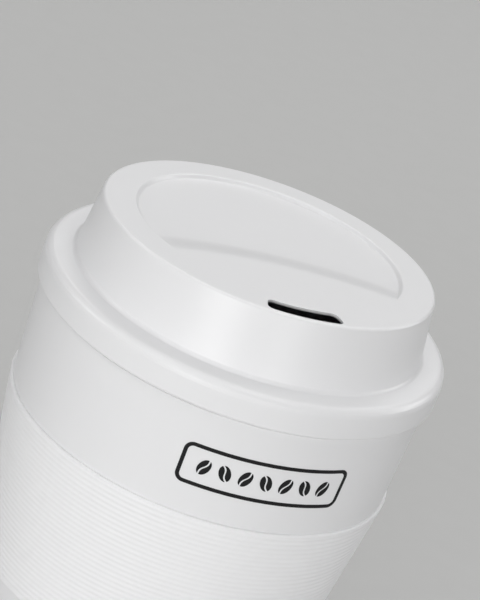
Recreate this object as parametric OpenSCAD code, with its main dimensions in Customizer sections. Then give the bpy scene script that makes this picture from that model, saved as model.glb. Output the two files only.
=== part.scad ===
// Coffee cup with a screw lid, in millimetres. The table is z = 0, the cup's axis is z,
// and the drinking slot looks towards -y.

/* [Cup] */
// Diameter of the cup where it meets the table
foot_d = 60.3; // [54:0.1:64]
// Diameter of the smooth upper band at its top, just under the lid
shoulder_d = 87.6; // [86.8:0.1:88.4]
// How much the smooth upper band widens from the bend in the wall to its top
band_flare = 1.9; // [0:0.1:4]
// Height of the bend in the wall, where the smooth upper band starts
bend_z = 93.1; // [84:0.1:100]
// Height of the shoulder, where the wall steps in under the lid's skirt
shoulder_z = 117.3; // [112:0.1:124]
// Height of the mouth above the shoulder
mouth_rise = 4.1; // [3.6:0.1:7]
// How far the wall steps in at the shoulder
mouth_step = 0.5; // [0.4:0.05:1]
// Thickness of the wall at the mouth
mouth_t = 3; // [2.6:0.1:3.6]
// Size of the small chamfers at the mouth
mouth_edge = 0.4; // [0.2:0.05:0.5]
// Thickness of the wall behind the grip
wall_t = 2; // [1.4:0.1:3]
// Thickness of the floor
floor_t = 2.4; // [1.6:0.1:4]
// Depth of the hollow under the floor
foot_hollow = 1.5; // [0.6:0.1:3]
// Width of the flat ring that the cup stands on
foot_ring_w = 4.2; // [3:0.1:7]
// Radius of the rounded edge at the foot
foot_round = 1.2; // [0.4:0.1:2]
// Radius of the corner between the floor and the wall inside
floor_round = 5; // [2:0.5:8]

/* [Grip] */
// Height of the grip from edge to edge, down from the bend in the wall
grip_h = 40; // [24:0.1:60]
// Depth of the seat that the grip lies in
grip_seat = 0.8; // [0.5:0.05:1.2]
// How far the ribs stand out of the wall
grip_proud = 0.72; // [0.5:0.01:1]
// Distance from one rib to the next, along the axis
rib_pitch = 1.23; // [1:0.01:2.5]
// Height of a rib above the groove beside it
rib_h = 0.12; // [0.05:0.01:0.4]
// Width of the groove's floor between two ribs
rib_groove = 0.35; // [0.1:0.01:0.6]
// Width of a rib's sloping side
rib_flank = 0.28; // [0.1:0.01:0.4]
// Radius of the grip's upper and lower edge
grip_round = 0.6; // [0.3:0.05:0.7]
// Clearance between the grip and its seat
grip_gap = 0.05; // [0.02:0.01:0.1]

/* [Lid] */
// Thickness of the skirt
skirt_t = 1.6; // [1.4:0.05:1.8]
// Clearance between the skirt and the cup's mouth
skirt_gap = 0.4; // [0.3:0.05:0.7]
// Clearance between the skirt's edge and the cup's shoulder
edge_gap = 0.5; // [0.3:0.05:0.8]
// Radius of the skirt's lower edge
skirt_round = 0.6; // [0.4:0.1:1.3]
// Radius between the ledge and the skirt
ledge_round = 2.1; // [0.6:0.1:2.3]
// Thickness of the ledge over the seal
ledge_t = 2.2; // [1.8:0.1:3]
// Slope of the ledge, in degrees
ledge_slope = 4.8; // [2:0.1:8]
// How far the collar's foot stands outside the plug's outer face
collar_out = 0.25; // [0:0.05:0.6]
// How far the collar leans in from its foot to its top
collar_lean = 1.8; // [0.5:0.05:3]
// Height of the collar above the ledge, on the axis
collar_h = 13.85; // [11:0.05:20]
// Thickness of the collar's wall
collar_t = 1.3; // [1.2:0.05:1.8]
// Radius of the collar's top edge
collar_round = 0.7; // [0.3:0.05:1]
// Radius between the ledge and the collar
collar_fillet = 1.2; // [0.6:0.1:1.8]
// Rise of the collar's top towards the drinking side, in degrees
top_slope = 1; // [0:0.05:1.4]
// Thickness of the top plate
plate_t = 1.6; // [1.4:0.1:2.4]

/* [Recess and drinking slot] */
// Width of the plate round the recess, out to the collar's edge
recess_rim = 7.65; // [6.2:0.05:10]
// How far the middle of the recess lies behind the axis
recess_back = 0.5; // [0:0.1:2]
// Depth of the recess
recess_depth = 0.8; // [0.4:0.05:1.2]
// Width of the sloping wall round the recess
recess_bank = 1; // [0.6:0.1:2]
// Distance from the axis to the middle of the ramp
ramp_y = 8.6; // [4:0.1:10]
// Radius of the ramp's curve, seen from above
ramp_r = 82; // [70:1:140]
// Width of the ramp, from the plate down to the recess floor
ramp_w = 8.1; // [4:0.1:10]
// Distance from the collar's edge to the slot
slot_rim = 1.2; // [1.2:0.05:3]
// Width of the slot, along the radius
slot_w = 4.5; // [4.4:0.1:5]
// Length of the slot's outer edge
slot_len = 17.4; // [12:0.1:20]
// Radius of the slot's corners
slot_round = 1.4; // [0.6:0.1:1.6]
// Thickness of the thin lip round the slot
slot_lip = 0.6; // [0.4:0.05:1]
// How far the pocket under the lip reaches past the slot
slot_pocket = 3.2; // [0.8:0.1:4]

/* [Thread] */
// Rise of the thread in one full turn
thread_lead = 9; // [8:0.1:10]
// Number of thread starts
thread_starts = 2; // [2:1:2]
// How far round each thread ridge runs, in degrees
thread_sweep = 150; // [120:5:170]
// Height of a thread ridge
thread_h = 1.1; // [0.9:0.05:1.2]
// Width of a thread ridge at its root
thread_root_w = 2.2; // [1.8:0.1:2.4]
// Width of a thread ridge at its crest
thread_crest_w = 1; // [0.7:0.1:1.2]
// Clearance between a crest and the wall that it turns in
thread_gap = 0.3; // [0.2:0.05:0.4]
// Thickness of the plug's wall
plug_t = 1.8; // [1.4:0.1:2.4]
// Depth of the plug below the ledge
plug_h = 13; // [12:0.1:16]
// Size of the chamfer at the plug's end
plug_edge = 0.5; // [0.3:0.05:0.8]
// Distance from the plug's end to the middle of the lowest ridge end
plug_lead_in = 2.75; // [2:0.05:4]

/* [Seal] */
// Thickness of the seal
seal_t = 1.3; // [1:0.1:2]
// Clearance above and below the seal
seal_gap = 0.15; // [0.1:0.01:0.2]
// Clearance between the seal and the plug
seal_bore_gap = 0.3; // [0.2:0.05:0.4]

/* [Hidden] */
$fn = 180;

// Segments in an arc of a section, and overlap of a cut past a face.
arc_steps = 6;
eps = 0.01;

// Cup, from its foot to its mouth.
foot_r = foot_d / 2;
shoulder_r = shoulder_d / 2;
bend_r = shoulder_r - band_flare / 2;
mouth_r = shoulder_r - mouth_step;
mouth_z = shoulder_z + mouth_rise;
bore_r = mouth_r - mouth_t;
floor_z = foot_hollow + floor_t;
grip_z = bend_z - grip_h;

// Lid, from its fit on the cup.
skirt_in_r = mouth_r + skirt_gap;
skirt_r = skirt_in_r + skirt_t;
plug_crest_r = bore_r - thread_gap;
plug_r = plug_crest_r - thread_h;
seal_z = mouth_z + seal_gap;
under_z = seal_z + seal_t + seal_gap;
ledge_z = under_z + ledge_t;
skirt_z = shoulder_z + edge_gap;
plug_z = under_z - plug_h;
collar_foot_r = plug_r + collar_out;
collar_top_r = collar_foot_r - collar_lean;
recess_r = collar_top_r - recess_rim;
slot_r = collar_top_r - slot_rim;

// Thread: height of the lowest ridge end, length of a segment and of the run-in at each end
// in degrees, and depth of a ridge's root in its wall.
thread_pitch = thread_lead / thread_starts;
ridge_z = plug_z + plug_lead_in;
thread_step = 5;
thread_fade = 22;
thread_sink = 0.5;

// Depth of the collar's foot in the ledge, and of the ends of its fillet in the faces they join.
collar_sink = 1.05;
root_bite = 0.02;

// Inside of the cup: depth of the straight bore below the plug, and wall radius at the bend.
bore_spare = 3.5;
inner_bend_r = bend_r - grip_seat - wall_t;

// Points of an arc about [x, y], from angle a to angle b.
function arc(x, y, r, a, b, n = arc_steps) =
    [for (i = [0 : n]) let (t = a + (b - a) * i / n) [x + r * cos(t), y + r * sin(t)]];

// Outer radius of the lower wall, a straight cone from the foot to the bend.
function wall_r(z) = foot_r + (bend_r - foot_r) * z / bend_z;

// Outer radius of the collar at height h above the ledge, on the collar's own axis.
function collar_r(h) = collar_foot_r + (collar_top_r - collar_foot_r) * h / collar_h;

// Height of the ledge's upper face at radius r.
function ledge_top(r) = ledge_z - (r - collar_foot_r) * tan(ledge_slope);

// Section of a ridge as [radius, height] from its own middle. The root lies inside the wall,
// and side is 1 for a ridge that points out and -1 for one that points in.
function ridge_section(root_r, side, grown) =
    let (
        flank = (thread_root_w - thread_crest_w) / 2 / thread_h,
        crest = thread_sink / 2 * (grown - 1) + thread_h * grown,
        half_root = thread_root_w / 2 + thread_sink * flank,
        half_crest = thread_root_w / 2 - crest * flank
    )
    [
        [root_r - side * thread_sink, -half_root],
        [root_r + side * crest, -half_crest],
        [root_r + side * crest, half_crest],
        [root_r - side * thread_sink, half_root]
    ];

// A thread ridge that grows out of the wall at one end and sinks into it at the other.
module thread_ridge(root_r, side, z, turn) {
    steps = round(thread_sweep / thread_step);
    rings = [
        for (i = [0 : steps])
            let (
                a = thread_sweep * i / steps,
                grown = min(1, a / thread_fade, (thread_sweep - a) / thread_fade),
                s = ridge_section(root_r, side, grown)
            )
            for (p = s) [
                p[0] * cos(turn + a),
                p[0] * sin(turn + a),
                z + thread_lead * a / 360 + p[1]
            ]
    ];
    sides = [
        for (i = [0 : steps - 1])
            for (k = [0 : 3])
                let (p = 4 * i + k, q = 4 * i + (k + 1) % 4)
                for (face = [[p, q, q + 4], [p, q + 4, p + 4]])
                    side > 0 ? face : [face[2], face[1], face[0]]
    ];
    last = 4 * steps;
    near_cap = [[0, 2, 1], [0, 3, 2]];
    far_cap = [[last, last + 1, last + 2], [last, last + 2, last + 3]];
    caps = [for (face = concat(near_cap, far_cap)) side > 0 ? face : [face[2], face[1], face[0]]];
    polyhedron(points = rings, faces = concat(sides, caps));
}

// All starts of one thread.
module thread(root_r, side, z) {
    for (k = [0 : thread_starts - 1])
        thread_ridge(root_r, side, z, 360 * k / thread_starts);
}

// Everything on the collar's axis, which leans so that the top rises towards the slot.
module on_collar_axis() {
    translate([0, 0, ledge_z])
        rotate([-top_slope, 0, 0])
            children();
}

module cup_body() {
    outline = concat(
        [[0, foot_hollow], [foot_r - foot_ring_w - foot_hollow, foot_hollow], [foot_r - foot_ring_w, 0]],
        arc(wall_r(foot_round) - foot_round, foot_round, foot_round, -90, 0),
        [
            [wall_r(grip_z), grip_z],
            [wall_r(grip_z) - grip_seat, grip_z],
            [bend_r - grip_seat, bend_z],
            [bend_r, bend_z],
            [shoulder_r, shoulder_z - mouth_step / 2],
            [shoulder_r - mouth_step / 2, shoulder_z],
            [mouth_r, shoulder_z],
            [mouth_r, mouth_z - mouth_edge],
            [mouth_r - mouth_edge, mouth_z],
            [bore_r + mouth_edge, mouth_z],
            [bore_r, mouth_z - mouth_edge],
            [bore_r, plug_z - bore_spare],
            [inner_bend_r, bend_z]
        ],
        arc(wall_r(floor_z + floor_round) - grip_seat - wall_t - floor_round,
            floor_z + floor_round, floor_round, 0, -90),
        [[0, floor_z]]
    );
    color([0.9, 0.9, 0.89]) {
        rotate_extrude() polygon(outline);
        thread(bore_r, -1, ridge_z + thread_pitch / 2);
    }
}

module grip_sleeve() {
    ribs = floor((grip_h - 2 * grip_round) / rib_pitch);
    edge = (grip_h - ribs * rib_pitch) / 2;
    base = grip_proud - rib_h;
    ridges = [
        for (i = [0 : ribs - 1])
            let (z = grip_z + edge + i * rib_pitch)
            for (p = [
                [base, rib_groove / 2],
                [grip_proud, rib_groove / 2 + rib_flank],
                [grip_proud, rib_pitch - rib_groove / 2 - rib_flank],
                [base, rib_pitch - rib_groove / 2]
            ])
                [wall_r(z + p[1]) + p[0], z + p[1]]
    ];
    low = grip_z + grip_gap;
    high = bend_z - grip_gap;
    seat = grip_gap - grip_seat;
    color([0.93, 0.93, 0.92])
        rotate_extrude() polygon(concat(
            [[wall_r(low) + seat, low]],
            arc(wall_r(low + grip_round) + grip_proud - grip_round, low + grip_round, grip_round, -90, 0),
            ridges,
            arc(wall_r(high - grip_round) + grip_proud - grip_round, high - grip_round, grip_round, 0, 90),
            [[wall_r(high) + seat, high]]
        ));
}

module lid_seal() {
    color([0.8, 0.8, 0.79])
        translate([0, 0, seal_z])
            difference() {
                cylinder(r = mouth_r - mouth_edge, h = seal_t);
                translate([0, 0, -eps])
                    cylinder(r = plug_r + seal_bore_gap, h = seal_t + 2 * eps);
            }
}

// Skirt, ledge and plug, upright on the cup's axis. The top closes inside the collar's wall.
module lid_ring() {
    round_r = skirt_r - ledge_round;
    round_z = ledge_top(round_r) - ledge_round;
    outline = concat(
        [
            [plug_r - plug_t, plug_z],
            [plug_r - plug_edge, plug_z],
            [plug_r, plug_z + plug_edge],
            [plug_r, under_z],
            [skirt_in_r - mouth_edge, under_z],
            [skirt_in_r, under_z - mouth_edge],
            [skirt_in_r, skirt_z]
        ],
        arc(skirt_r - skirt_round, skirt_z + skirt_round, skirt_round, -90, 0),
        arc(round_r, round_z, ledge_round, 0, 90 - ledge_slope),
        [
            [collar_foot_r - collar_t / 2, ledge_top(collar_foot_r - collar_t / 2)],
            [plug_r - plug_t, ledge_z - collar_sink / 2]
        ]
    );
    rotate_extrude() polygon(outline);
    thread(plug_r, 1, ridge_z);
}

// Fillet in the corner between the ledge and the collar. It stays upright like the ledge, and is
// shifted towards the slot as far as the lean of the collar's axis moves the collar's foot there.
module collar_root() {
    lean = atan(collar_lean / collar_h);
    r = collar_foot_r - root_bite
        + collar_fillet * (1 / cos(lean) - tan(lean) / cos(ledge_slope)) / (1 - tan(lean) * tan(ledge_slope));
    z = ledge_top(r) + collar_fillet / cos(ledge_slope) - root_bite;
    in_r = collar_foot_r - collar_t / 2;
    shift = sin(top_slope) * (collar_foot_r * tan(lean) - z + ledge_z);
    translate([0, -shift, 0])
        rotate_extrude() polygon(concat(
            arc(r, z, collar_fillet, -90 - ledge_slope, -180 + lean),
            [[in_r, z], [in_r, ledge_z - collar_sink], [r, ledge_z - collar_sink]]
        ));
}

// Collar and top plate, as a shell of even wall.
module lid_collar() {
    top_r = collar_r(collar_h - collar_round) - collar_round;
    in_h = collar_h - plate_t;
    outline = concat(
        [[collar_r(-collar_sink) - collar_t, -collar_sink], [collar_r(-collar_sink), -collar_sink]],
        arc(top_r, collar_h - collar_round, collar_round, 0, 90),
        [[0, collar_h], [0, in_h]],
        arc(collar_r(in_h - 1) - collar_t - 1, in_h - 1, 1, 90, 0)
    );
    rotate_extrude() polygon(outline);
}

// Height of the ramp, smooth at both ends, at share t of its width.
function ramp_height(t) = recess_depth * (1 + cos(180 * t)) / 2;

// The recess in the plate: a shallow dish, less the ramp that closes it towards the slot. The
// dish can be wider by some wall.
module recess(wall = 0) {
    floor_h = collar_h - recess_depth;
    bank_r = recess_r + wall;
    bank_steps = 6;
    dish = concat(
        [[0, floor_h]],
        [for (i = [0 : bank_steps])
            [bank_r + recess_bank * (i / bank_steps - 0.5), collar_h - ramp_height(i / bank_steps)]],
        [[bank_r + recess_bank / 2, collar_h + 1], [0, collar_h + 1]]
    );
    steps = 20;
    ramp = concat(
        [[0, floor_h - 1], [0, collar_h]],
        [for (i = [0 : steps])
            [ramp_r + ramp_w * (i / steps - 0.5), floor_h + ramp_height(i / steps)]],
        [[ramp_r + ramp_w / 2, floor_h - 1]]
    );
    difference() {
        translate([0, recess_back, 0])
            rotate_extrude() polygon(dish);
        translate([0, -ramp_y - ramp_r, 0])
            rotate_extrude($fn = 360) polygon(ramp);
    }
}

// The underside of the recess, which follows it at the plate's thickness.
module recess_tray() {
    translate([0, 0, eps - plate_t]) recess(plate_t);
}

// Corner of the slot: an arc about a point at radius r and angle a from the slot's middle,
// from one direction to another, both measured from that radius.
function slot_corner(r, a, from, to) =
    arc(r * sin(a), -r * cos(a), slot_round, a - 90 + from, a - 90 + to, 4);

// Outline of the slot between two radii, whose ends lie on radii too. It reaches half degrees
// to each side, and its corners are round.
module slot_outline(in_r, out_r, half) {
    in_a = half - asin(slot_round / (in_r + slot_round));
    out_a = half - asin(slot_round / (out_r - slot_round));
    polygon(concat(
        arc(0, 0, out_r, -90 - out_a, -90 + out_a, 12),
        slot_corner(out_r - slot_round, out_a, 0, 90 + half - out_a),
        slot_corner(in_r + slot_round, in_a, 90 + half - in_a, 180),
        arc(0, 0, in_r, -90 + in_a, -90 - in_a, 12),
        slot_corner(in_r + slot_round, -in_a, 180, 270 - half + in_a),
        slot_corner(out_r - slot_round, -out_a, 270 - half + out_a, 360)
    ));
}

// The slot, which goes down through a thin lip into a wider pocket under the plate.
module slot() {
    in_r = slot_r - slot_w;
    half = slot_len / slot_r * 90 / PI;
    translate([0, 0, collar_h - slot_lip - eps])
        linear_extrude(height = slot_lip + 1) slot_outline(in_r, slot_r, half);
    translate([0, 0, collar_h - plate_t - 1])
        linear_extrude(height = plate_t + 1 - slot_lip)
            slot_outline(in_r - slot_pocket, slot_r, half + slot_pocket / slot_r * 180 / PI);
}

module screw_lid() {
    color([0.91, 0.91, 0.9]) {
        lid_ring();
        collar_root();
        on_collar_axis()
            difference() {
                union() {
                    lid_collar();
                    recess_tray();
                }
                recess();
                slot();
            }
    }
}

cup_body();
grip_sleeve();
lid_seal();
screw_lid();
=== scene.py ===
"""Looks of a reusable coffee cup with a screw lid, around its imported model.

Metres, z up, the cup's foot at the origin, the drinking slot towards -y.
"""

import math

import bpy
import numpy as np
from mathutils import Matrix, Vector


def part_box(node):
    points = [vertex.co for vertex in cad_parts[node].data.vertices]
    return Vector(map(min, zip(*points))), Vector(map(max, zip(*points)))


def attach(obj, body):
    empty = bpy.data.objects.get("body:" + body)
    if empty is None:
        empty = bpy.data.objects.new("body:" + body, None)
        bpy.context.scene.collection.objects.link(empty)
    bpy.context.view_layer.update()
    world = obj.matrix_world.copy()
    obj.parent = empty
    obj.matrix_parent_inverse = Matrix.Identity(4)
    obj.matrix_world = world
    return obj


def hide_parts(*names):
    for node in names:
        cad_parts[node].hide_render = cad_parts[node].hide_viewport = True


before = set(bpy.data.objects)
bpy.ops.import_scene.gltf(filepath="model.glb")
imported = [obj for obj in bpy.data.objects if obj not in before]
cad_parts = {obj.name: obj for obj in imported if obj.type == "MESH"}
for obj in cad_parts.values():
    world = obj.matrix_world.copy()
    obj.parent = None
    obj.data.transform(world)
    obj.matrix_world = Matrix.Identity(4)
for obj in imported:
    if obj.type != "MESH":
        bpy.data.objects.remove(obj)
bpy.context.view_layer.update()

# Camera. The photograph looks down on the lid from 0.6 m with a long lens, and the camera is
# rolled, so that the cup leans to the right in the picture. Place, turn and lens were fitted
# to the lid's circles in the photograph.
CAMERA_PLACE = (-0.1914, -0.5174, 0.3561)
CAMERA_HEADING = math.radians(20.12)
CAMERA_DOWN = math.radians(22.83)
CAMERA_ROLL = math.radians(21.0)
FRAME_HEIGHT_PX = 600
FOCAL_PX = 2788.4
FILM_HEIGHT_MM = 36.0

lens = bpy.data.cameras.new("photo_camera")
lens.sensor_fit = "VERTICAL"
lens.sensor_height = FILM_HEIGHT_MM
lens.sensor_width = FILM_HEIGHT_MM
lens.lens = FOCAL_PX / FRAME_HEIGHT_PX * FILM_HEIGHT_MM
lens.clip_start = 0.01
lens.clip_end = 20
camera = bpy.data.objects.new("photo_camera", lens)
bpy.context.scene.collection.objects.link(camera)
look = Matrix.Rotation(-CAMERA_HEADING, 4, "Z") @ Matrix.Rotation(math.pi / 2 - CAMERA_DOWN, 4, "X")
camera.matrix_world = Matrix.Translation(CAMERA_PLACE) @ look @ Matrix.Rotation(CAMERA_ROLL, 4, "Z")
bpy.context.scene.camera = camera
bpy.context.scene.view_settings.view_transform = "Standard"

# Studio floor. A wide sheet of matt paper under the cup, in a plain pale grey that a white cup
# still stands out from. Paper scatters light evenly, and its fibres lie in faint clouds.
MM = 0.001
FLOOR_SIZE = 6.0
PAPER_PALE = "c0c0bf"
PAPER_DULL = "bdbdbc"
PAPER_ROUGHNESS = 0.9
FIBRE_CLOUD = 9.0 * MM


def rgb(code):
    """Linear colour of an sRGB hex value, such as "e8e8e6": a straight line near black and a power
    above it, as the sRGB standard has them."""
    parts = [int(code[first:first + 2], 16) / 255 for first in (0, 2, 4)]
    linear = [part / 12.92 if part <= 0.04045 else ((part + 0.055) / 1.055) ** 2.4 for part in parts]
    return linear + [1.0]


def add_node(tree, kind, settings=None, links=None):
    """A shader node of that kind. Settings are its properties or its inputs' values, and links
    are its inputs' sources as (node, output)."""
    made = tree.nodes.new(kind)
    for name, value in (settings or {}).items():
        if name in made.inputs:
            made.inputs[name].default_value = value
        else:
            setattr(made, name, value)
    for name, (source, output) in (links or {}).items():
        tree.links.new(source.outputs[output], made.inputs[name])
    return made


def new_material(name, shader_values):
    """A material with one Principled shader, whose inputs have those values. The result is
    (material, tree, shader)."""
    material = bpy.data.materials.new(name)
    material.use_nodes = True
    tree = material.node_tree
    shader = tree.nodes["Principled BSDF"]
    for socket, value in shader_values.items():
        shader.inputs[socket].default_value = value
    return material, tree, shader


corners = [(x * FLOOR_SIZE / 2, y * FLOOR_SIZE / 2, 0) for x, y in ((-1, -1), (1, -1), (1, 1), (-1, 1))]
floor_mesh = bpy.data.meshes.new("studio_floor")
floor_mesh.from_pydata(corners, [], [(0, 1, 2, 3)])
floor = bpy.data.objects.new("studio_floor", floor_mesh)
bpy.context.scene.collection.objects.link(floor)

paper, tree, shader = new_material("matt_studio_paper", {"Roughness": PAPER_ROUGHNESS})
place = add_node(tree, "ShaderNodeTexCoord")
fibre = add_node(
    tree, "ShaderNodeTexNoise", {"Scale": 1 / FIBRE_CLOUD, "Detail": 4.0}, {"Vector": (place, "Object")}
)
tone = add_node(
    tree, "ShaderNodeMixRGB", {"Color1": rgb(PAPER_PALE), "Color2": rgb(PAPER_DULL)}, {"Fac": (fibre, "Fac")}
)
tree.links.new(tone.outputs["Color"], shader.inputs["Base Color"])
floor.data.materials.append(paper)

# Studio light. Soft boxes all round: a low broad key in front, weaker ones above, at the sides
# and behind. The surrounding itself is almost dark.
WORLD_COLOUR = "ffffff"
WORLD_STRENGTH = 0.02
LAMP_AIM = Vector((0, 0, 0.11))
LAMP_DISTANCE = 1.5

world = bpy.data.worlds.new("studio")
world.use_nodes = True
surrounding = world.node_tree.nodes["Background"]
surrounding.inputs["Color"].default_value = rgb(WORLD_COLOUR)
surrounding.inputs["Strength"].default_value = WORLD_STRENGTH
bpy.context.scene.world = world


def soft_box(name, azimuth, elevation, size, power):
    """A lamp of (width, height) metres and power in watts that faces the lid. It stands at an
    azimuth, where 0 is -y and 90 is +x, and an elevation, both in degrees."""
    data = bpy.data.lights.new(name, "AREA")
    data.shape = "RECTANGLE"
    data.size, data.size_y = size
    data.energy = power
    made = bpy.data.objects.new(name, data)
    turn, rise = math.radians(azimuth), math.radians(elevation)
    away = Vector((math.sin(turn) * math.cos(rise), -math.cos(turn) * math.cos(rise), math.sin(rise)))
    facing = away.to_track_quat("Z", "Y").to_matrix().to_4x4()
    made.matrix_world = Matrix.Translation(LAMP_AIM + away * LAMP_DISTANCE) @ facing
    made.visible_camera = False
    bpy.context.scene.collection.objects.link(made)


soft_box("key_left", azimuth=-32, elevation=5, size=(0.6, 0.24), power=10.0)
soft_box("key_right", azimuth=10, elevation=5, size=(0.5, 0.24), power=4.5)
soft_box("front_left", azimuth=-60, elevation=55, size=(0.7, 0.6), power=3.0)
soft_box("front_top", azimuth=45, elevation=72, size=(0.7, 0.6), power=2.0)
soft_box("top_box", azimuth=160, elevation=86, size=(1.0, 1.0), power=5.4)
soft_box("left_box", azimuth=-105, elevation=28, size=(0.7, 0.6), power=3.8)
soft_box("side_box", azimuth=102, elevation=20, size=(0.6, 0.5), power=5.0)
soft_box("right_box", azimuth=128, elevation=48, size=(0.8, 0.7), power=2.6)
soft_box("back_high", azimuth=165, elevation=45, size=(1.0, 0.5), power=5.4)
soft_box("back_low", azimuth=162, elevation=25, size=(1.0, 0.4), power=0.9)

# Cup body. One thin-walled tapered cup of white polypropylene, injection moulded in one shot,
# with a smooth upper band that leans less than the wall below it.
PLASTIC_PALE = "ebebec"
PLASTIC_DULL = "e9e9ea"
PLASTIC_IOR = 1.49
PLASTIC_SCATTER = 0.12
PLASTIC_SCATTER_DEPTH = 0.5 * MM
FLOW_MARK = 35.0 * MM
FLOW_STRETCH = 0.35
SHEEN_CLOUD = 20.0 * MM
CUP_ROUGHNESS = 0.34
CUP_SHEEN_SPREAD = 0.015
# The mould's grain is about 0.05 mm wide. It is drawn five times as wide, so that it shows.
MOULD_GRAIN = 0.25 * MM
MOULD_GRAIN_DEPTH = 0.002 * MM
# White plastic scatters red, green and blue alike.
WHITE_SCATTER = (1.0, 1.0, 1.0)


def satin_polypropylene(name, roughness, spread):
    """Satin white polypropylene. Moulding leaves faint cloudy flow marks that run up the wall, a
    sheen that changes a little from place to place, and a very fine even grain from the mould. The
    plastic lets light in by about half a millimetre, which softens its small edges."""
    material, tree, shader = new_material(name, {
        "IOR": PLASTIC_IOR,
        "Subsurface Weight": PLASTIC_SCATTER,
        "Subsurface Radius": WHITE_SCATTER,
        "Subsurface Scale": PLASTIC_SCATTER_DEPTH,
    })
    place = add_node(tree, "ShaderNodeTexCoord")
    up_wall = add_node(
        tree, "ShaderNodeMapping", {"Scale": (1.0, 1.0, FLOW_STRETCH)}, {"Vector": (place, "Object")}
    )
    flow = add_node(
        tree, "ShaderNodeTexNoise", {"Scale": 1 / FLOW_MARK, "Detail": 2.0}, {"Vector": (up_wall, "Vector")}
    )
    tone = add_node(
        tree, "ShaderNodeMixRGB", {"Color1": rgb(PLASTIC_PALE), "Color2": rgb(PLASTIC_DULL)},
        {"Fac": (flow, "Fac")},
    )
    cloud = add_node(
        tree, "ShaderNodeTexNoise", {"Scale": 1 / SHEEN_CLOUD, "Detail": 3.0}, {"Vector": (place, "Object")}
    )
    sheen = add_node(
        tree, "ShaderNodeMapRange", {"To Min": roughness - spread, "To Max": roughness + spread},
        {"Value": (cloud, "Fac")},
    )
    grain = add_node(
        tree, "ShaderNodeTexNoise", {"Scale": 1 / MOULD_GRAIN, "Detail": 1.0}, {"Vector": (place, "Object")}
    )
    bump = add_node(
        tree, "ShaderNodeBump", {"Strength": 0.5, "Distance": MOULD_GRAIN_DEPTH}, {"Height": (grain, "Fac")}
    )
    tree.links.new(tone.outputs["Color"], shader.inputs["Base Color"])
    tree.links.new(sheen.outputs["Result"], shader.inputs["Roughness"])
    tree.links.new(bump.outputs["Normal"], shader.inputs["Normal"])
    return material


def give(node, material):
    """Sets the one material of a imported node."""
    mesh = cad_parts[node].data
    mesh.materials.clear()
    mesh.materials.append(material)


give("cup_body", satin_polypropylene("satin_polypropylene_cup", CUP_ROUGHNESS, CUP_SHEEN_SPREAD))

# Grip sleeve. A band of soft matt silicone, moulded with shallow rounded ribs and stretched
# into a seat in the cup's wall, just below the smooth upper band.
FOOT_RADIUS = 30.15 * MM
BEND_RADIUS = 42.85 * MM
BEND_HEIGHT = 93.1 * MM
PROUD = 0.72 * MM
SEAT_DEPTH = 0.75 * MM
# The soft sleeve presses against both ends of its seat, and closes the clearance there.
SEAT_CLEARANCE = 0.05 * MM
EDGE_ROUND = 0.45 * MM
EDGE_STEPS = 7
TOP_STRIP = 0.5 * MM
RIB_PITCH = 1.23 * MM
RIB_DEPTH = 0.09 * MM
RIB_STEPS = 10
SLEEVE_SEGMENTS = 192


def closed_shells(name, grids):
    """A mesh of closed shells, each from a grid of points[i, k]. Each quad runs from (i, k) over
    (i + 1, k). k goes round a closed section, and i goes round too, or ends in two flat caps."""
    points, faces, first = [], [], 0
    for grid, capped in grids:
        index = first + np.arange(grid.shape[0] * grid.shape[1]).reshape(grid.shape[:2])
        quads = np.stack(
            [index, np.roll(index, -1, 0), np.roll(index, (-1, -1), (0, 1)), np.roll(index, -1, 1)], -1
        )
        faces += (quads[:-1] if capped else quads).reshape(-1, 4).tolist()
        if capped:
            faces += [index[0].tolist(), index[-1, ::-1].tolist()]
        points.append(grid.reshape(-1, 3))
        first += index.size
    mesh = bpy.data.meshes.new(name)
    mesh.from_pydata(np.concatenate(points), [], faces)
    mesh.shade_smooth()
    made = bpy.data.objects.new(name, mesh)
    bpy.context.scene.collection.objects.link(made)
    return made


def turned(radius, height, segments):
    """Points of a solid of revolution: profile point k, radius[k] out and height[k] up, turned by
    i equal steps round z, from -y towards +x."""
    turn = np.linspace(0, 2 * np.pi, segments, endpoint=False)[:, None]
    return np.stack(np.broadcast_arrays(radius * np.sin(turn), -radius * np.cos(turn), height), -1)


def wall_radius(height):
    """Outer radius of the cup's lower wall, a straight cone from its foot to the bend."""
    return FOOT_RADIUS + (BEND_RADIUS - FOOT_RADIUS) * height / BEND_HEIGHT


def edge_arc(height, start, end):
    """Radii and heights along the sleeve's rounded edge: an arc about a centre at that height, from
    one angle to another, in degrees up from outwards."""
    angle = np.radians(np.linspace(start, end, EDGE_STEPS + 1))
    centre = wall_radius(height) + PROUD - EDGE_ROUND
    return centre + EDGE_ROUND * np.cos(angle), height + EDGE_ROUND * np.sin(angle)


# The profile goes up the outside: lower edge, ribs from groove to groove along a cosine, and a
# plain strip with the upper edge. It comes back down the seat.
low, high = (point.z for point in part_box("grip_sleeve"))
low, high = low - SEAT_CLEARANCE, high + SEAT_CLEARANCE
rib_count = int((high - low - 2 * EDGE_ROUND) / RIB_PITCH)
lowest_groove = high - TOP_STRIP - rib_count * RIB_PITCH
along = np.arange(rib_count * RIB_STEPS + 1) / RIB_STEPS
rib_height = lowest_groove + along * RIB_PITCH
rib_radius = wall_radius(rib_height) + PROUD - RIB_DEPTH * (1 + np.cos(2 * np.pi * along)) / 2
foot_radius, foot_height = edge_arc(low + EDGE_ROUND, -90, 0)
top_radius, top_height = edge_arc(high - EDGE_ROUND, 0, 90)
seat_height = np.array([high, low])
seat_radius = wall_radius(seat_height) - SEAT_DEPTH
sleeve_points = turned(
    np.concatenate([foot_radius, rib_radius, top_radius, seat_radius]),
    np.concatenate([foot_height, rib_height, top_height, seat_height]),
    SLEEVE_SEGMENTS,
)
sleeve = closed_shells("grip_sleeve_ribbed", [(sleeve_points, False)])

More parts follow.
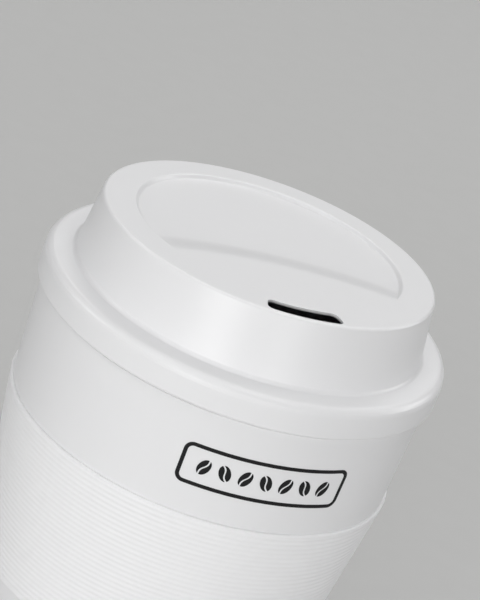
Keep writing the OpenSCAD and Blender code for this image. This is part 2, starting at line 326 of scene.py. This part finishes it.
# Silicone scatters light evenly and has only a dull, wide sheen. Dust and handling make that
# sheen uneven over some millimetres, and its mould leaves it slightly rough.
SLEEVE_PALE = "f4f4f5"
SLEEVE_DULL = "f1f1f2"
SILICONE_IOR = 1.41
SLEEVE_SCATTER = 0.15
SLEEVE_SCATTER_DEPTH = 0.8 * MM
SLEEVE_ROUGHNESS = (0.48, 0.58)
DUST_CLOUD = 4.0 * MM
SLEEVE_GRAIN = 0.2 * MM
SLEEVE_GRAIN_DEPTH = 0.003 * MM

silicone, tree, shader = new_material("matt_moulded_silicone", {
    "IOR": SILICONE_IOR,
    "Subsurface Weight": SLEEVE_SCATTER,
    "Subsurface Radius": WHITE_SCATTER,
    "Subsurface Scale": SLEEVE_SCATTER_DEPTH,
})
place = add_node(tree, "ShaderNodeTexCoord")
dust = add_node(
    tree, "ShaderNodeTexNoise", {"Scale": 1 / DUST_CLOUD, "Detail": 4.0}, {"Vector": (place, "Object")}
)
tone = add_node(
    tree, "ShaderNodeMixRGB", {"Color1": rgb(SLEEVE_PALE), "Color2": rgb(SLEEVE_DULL)}, {"Fac": (dust, "Fac")}
)
dull = add_node(
    tree, "ShaderNodeMapRange", {"To Min": SLEEVE_ROUGHNESS[0], "To Max": SLEEVE_ROUGHNESS[1]},
    {"Value": (dust, "Fac")},
)
rough = add_node(
    tree, "ShaderNodeTexNoise", {"Scale": 1 / SLEEVE_GRAIN, "Detail": 2.0}, {"Vector": (place, "Object")}
)
bump = add_node(
    tree, "ShaderNodeBump", {"Strength": 0.5, "Distance": SLEEVE_GRAIN_DEPTH}, {"Height": (rough, "Fac")}
)
tree.links.new(tone.outputs["Color"], shader.inputs["Base Color"])
tree.links.new(dull.outputs["Result"], shader.inputs["Roughness"])
tree.links.new(bump.outputs["Normal"], shader.inputs["Normal"])
sleeve.data.materials.append(silicone)
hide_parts("grip_sleeve")
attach(sleeve, "cup")

# Lid seal. A flat moulded ring of pale grey silicone, pressed between the cup's mouth and the
# underside of the lid. It doesn't show while the lid is on.
SEAL_PALE = "dbdbda"
SEAL_DULL = "d3d3d2"
SEAL_ROUGHNESS = 0.5
SEAL_CLOUD = 3.0 * MM

seal_values = {"Roughness": SEAL_ROUGHNESS, "IOR": SILICONE_IOR}
seal_silicone, tree, shader = new_material("food_grade_silicone", seal_values)
place = add_node(tree, "ShaderNodeTexCoord")
haze = add_node(
    tree, "ShaderNodeTexNoise", {"Scale": 1 / SEAL_CLOUD, "Detail": 3.0}, {"Vector": (place, "Object")}
)
tone = add_node(
    tree, "ShaderNodeMixRGB", {"Color1": rgb(SEAL_PALE), "Color2": rgb(SEAL_DULL)}, {"Fac": (haze, "Fac")}
)
tree.links.new(tone.outputs["Color"], shader.inputs["Base Color"])
give("lid_seal", seal_silicone)

# Screw lid. One moulding of the cup's own white plastic, with a little more polish, because its
# mould was finished finer. It screws into the mouth, and its raised collar is what one drinks from.
LID_ROUGHNESS = 0.32
LID_SHEEN_SPREAD = 0.012

give("screw_lid", satin_polypropylene("satin_polypropylene_lid", LID_ROUGHNESS, LID_SHEEN_SPREAD))

# Print. One film of black ink on the smooth band, screen printed and cured: a plain frame with
# rounded corners round a row of coffee beans.
SHOULDER_RADIUS = 43.8 * MM
SHOULDER_HEIGHT = 117.05 * MM
PRINT_AZIMUTH = math.radians(2.5)
PRINT_HEIGHT = 104.74 * MM
FRAME_WIDTH = 37.5 * MM
FRAME_HEIGHT = 9.6 * MM
FRAME_CORNER = 2.0 * MM
FRAME_STROKE = 0.86 * MM
LONG_SIDE_STEPS = 40
SHORT_SIDE_STEPS = 8
CORNER_STEPS = 8
# Real ink is about 0.02 mm thick. It is drawn twice as thick, and rooted in the wall.
INK_THICKNESS = 0.04 * MM
INK_ROOT = 0.02 * MM
INK_EDGE = 0.06 * MM
INK_EDGE_RISE = 0.6
BEAN_COUNT = 7
BEAN_PITCH = 4.5 * MM
BEAN_HALF_LENGTH = 1.95 * MM
BEAN_HALF_WIDTH = 1.3 * MM
BEAN_CURL = 0.26 * MM
BEAN_SPLIT = 0.34 * MM
BEAN_TIP = 0.05 * MM
BEAN_TILT = math.radians(-24)
BEAN_SEARCH_ROWS = 401
BEAN_ROWS = 24


def band_radius(height):
    """Outer radius of the smooth upper band, a straight cone from the bend to the shoulder."""
    share = (height - BEND_HEIGHT) / (SHOULDER_HEIGHT - BEND_HEIGHT)
    return BEND_RADIUS + (SHOULDER_RADIUS - BEND_RADIUS) * share


def on_band(across, up, out):
    """Points on the band: across and up from the print's middle, measured on the wall, and out
    from the wall."""
    height = PRINT_HEIGHT + up
    turn = PRINT_AZIMUTH + across / band_radius(PRINT_HEIGHT)
    radius = band_radius(height) + out
    return np.stack(np.broadcast_arrays(radius * np.sin(turn), -radius * np.cos(turn), height), -1)


def ink_section(width):
    """Across and out of a film of ink of that width: up its first edge, over its top and down its
    other edge. An edge stands upright for a share of the thickness, and then slopes to the top
    over INK_EDGE, or over a third of a narrower film."""
    slope = np.minimum(INK_EDGE, width / 3)
    edge = INK_EDGE_RISE * INK_THICKNESS
    across = np.stack([0 * width, 0 * width, slope, width - slope, width, width], -1)
    out = np.array([-INK_ROOT, edge, INK_THICKNESS, INK_THICKNESS, edge, -INK_ROOT])
    return across, out


def ink_frame(half_width, half_height, corner_radius, stroke):
    """A rounded rectangle. Each corner's centre stays put for a quarter turn, and moves along a
    side between two corners. The section is laid from there, along the direction's angle."""
    steps = [LONG_SIDE_STEPS, CORNER_STEPS, SHORT_SIDE_STEPS, CORNER_STEPS] * 2
    along = np.concatenate([stretch + np.arange(count) / count for stretch, count in enumerate(steps)])
    stops = range(len(steps) + 1)
    x, y = half_width - corner_radius, half_height - corner_radius
    centre_x = np.interp(along, stops, [-x, x, x, x, x, -x, -x, -x, -x])[:, None]
    centre_y = np.interp(along, stops, [-y, -y, -y, y, y, y, y, -y, -y])[:, None]
    angle = np.radians(np.interp(along, stops, [-90, -90, 0, 0, 90, 90, 180, 180, 270]))[:, None]
    across, out = ink_section(np.full(len(along), stroke))
    reach = corner_radius - across
    return on_band(centre_x + reach * np.cos(angle), centre_y + reach * np.sin(angle), out), False


def bean_edges(up, side):
    """Distances from the bean's middle line, at heights up from -1 to 1: of its rim, an ellipse,
    and of its split's edge on that side, one turn of a sine."""
    rim = BEAN_HALF_WIDTH * np.sqrt(1 - up ** 2)
    split = side * BEAN_CURL * np.sin(np.pi * up) + BEAN_SPLIT / 2
    return rim, split


def ink_bean_half(middle, side, tilt):
    """Half a coffee bean, between its rim and its split. Rows run up the bean, and each row is a
    film section from the right edge to the left one. It ends where it gets narrower than BEAN_TIP."""
    up = np.linspace(-1, 1, BEAN_SEARCH_ROWS)
    rim, split = bean_edges(up, side)
    inside = up[rim - split > BEAN_TIP]
    up = np.linspace(inside[0], inside[-1], BEAN_ROWS)
    rim, split = bean_edges(up, side)
    across, out = ink_section(rim - split)
    right = rim if side > 0 else -split
    x = right[:, None] - across
    y = up[:, None] * BEAN_HALF_LENGTH
    tilted_x = x * math.cos(tilt) - y * math.sin(tilt)
    tilted_y = x * math.sin(tilt) + y * math.cos(tilt)
    return on_band(middle + tilted_x, tilted_y, out), True


ink_grids = [ink_frame(FRAME_WIDTH / 2, FRAME_HEIGHT / 2, FRAME_CORNER, FRAME_STROKE)]
for bean in range(BEAN_COUNT):
    middle = (bean - (BEAN_COUNT - 1) / 2) * BEAN_PITCH
    tilt = BEAN_TILT if bean % 2 == 0 else -BEAN_TILT
    ink_grids += [ink_bean_half(middle, side, tilt) for side in (1, -1)]
ink_print = closed_shells("band_print", ink_grids)

# Cured ink is a soft black with a faint gloss, and its film is a little thicker here and there.
INK_BLACK = "101011"
INK_GREY = "19191a"
INK_IOR = 1.5
INK_SPECULAR = 0.25
INK_ROUGHNESS = (0.4, 0.55)
INK_CLOUD = 0.6 * MM

ink, tree, shader = new_material("screen_printed_ink", {"IOR": INK_IOR, "Specular IOR Level": INK_SPECULAR})
place = add_node(tree, "ShaderNodeTexCoord")
film = add_node(
    tree, "ShaderNodeTexNoise", {"Scale": 1 / INK_CLOUD, "Detail": 3.0}, {"Vector": (place, "Object")}
)
tone = add_node(
    tree, "ShaderNodeMixRGB", {"Color1": rgb(INK_BLACK), "Color2": rgb(INK_GREY)}, {"Fac": (film, "Fac")}
)
gloss = add_node(
    tree, "ShaderNodeMapRange", {"To Min": INK_ROUGHNESS[0], "To Max": INK_ROUGHNESS[1]},
    {"Value": (film, "Fac")},
)
tree.links.new(tone.outputs["Color"], shader.inputs["Base Color"])
tree.links.new(gloss.outputs["Result"], shader.inputs["Roughness"])
ink_print.data.materials.append(ink)
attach(ink_print, "cup")
